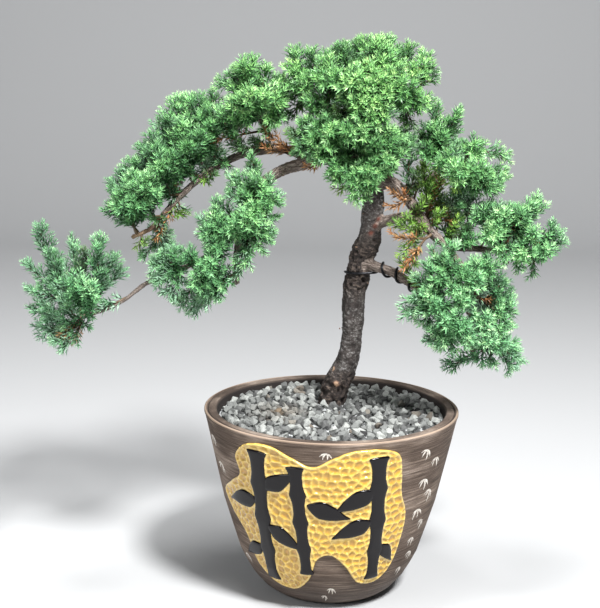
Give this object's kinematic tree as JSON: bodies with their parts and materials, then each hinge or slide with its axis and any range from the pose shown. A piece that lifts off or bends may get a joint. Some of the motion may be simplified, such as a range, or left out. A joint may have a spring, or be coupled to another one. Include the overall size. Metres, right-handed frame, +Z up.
{
  "type": "procumbens juniper bonsai in a round pot",
  "caption": "Slanting juniper bonsai with cushions of short needles on drooping branches, planted in gravel in a round tapering stoneware pot.",
  "frame": {"origin": "middle of the pot's flat foot, on the surface it stands on", "axes": "+Z up, -Y towards the side seen from the front, where the pot's glazed panel is, +X to the right from there"},
  "size_m": [0.484, 0.2352, 0.5147],
  "materials": {
    "stoneware": "brushed, unglazed brown stoneware",
    "net": "black net",
    "soil": "damp crumb",
    "gravel": "grey, angular, matt",
    "bark": "flaking grey-brown bark",
    "wire": "black anodised, satin",
    "needles": "blue-green needles, fresh green at the tips",
    "dead_needles": "dry orange-brown",
    "gold_glaze": "amber glaze over a hammered ground",
    "black_glaze": "glossy black glaze"
  },
  "bodies": {
    "root": {"pot": "stoneware", "drain_screen": "net", "soil": "soil", "gravel": "gravel", "trunk": "bark", "training_wire": "wire", "spray_far_left_1": "needles", "spray_far_left_2": "needles", "spray_far_left_3": "needles", "spray_far_left_4": "needles", "spray_far_left_5": "needles", "spray_arch_end": "needles", "spray_arch_1": "needles", "spray_arch_2": "needles", "spray_arch_3": "needles", "spray_arch_4": "needles", "spray_arch_low": "needles", "spray_arch_back_1": "needles", "spray_arch_back_2": "needles", "spray_mid_1": "needles", "spray_mid_2": "needles", "spray_mid_3": "needles", "spray_mid_4": "needles", "spray_crown_1": "needles", "spray_crown_2": "needles", "spray_crown_3": "needles", "spray_crown_4": "needles", "spray_crown_5": "needles", "spray_crown_6": "needles", "spray_crown_7": "needles", "spray_crown_8": "needles", "spray_crown_9": "needles", "spray_front_1": "needles", "spray_front_2": "needles", "spray_front_3": "needles", "spray_front_4": "needles", "spray_rise_1": "needles", "spray_rise_2": "needles", "spray_rise_3": "needles", "spray_rise_4": "needles", "spray_right_1": "needles", "spray_right_2": "needles", "spray_right_3": "needles", "spray_right_4": "needles", "spray_low_1": "needles", "spray_low_2": "needles", "spray_low_3": "needles", "spray_low_4": "needles", "spray_low_5": "needles", "spray_low_6": "needles", "spray_low_7": "needles", "spray_inner_1": "needles", "spray_inner_2": "needles", "spray_inner_3": "needles", "spray_inner_4": "needles", "spray_inner_5": "needles", "spray_inner_6": "needles", "spray_inner_7": "needles", "dead_1": "dead_needles", "dead_2": "dead_needles"}
  },
  "joints": []
}
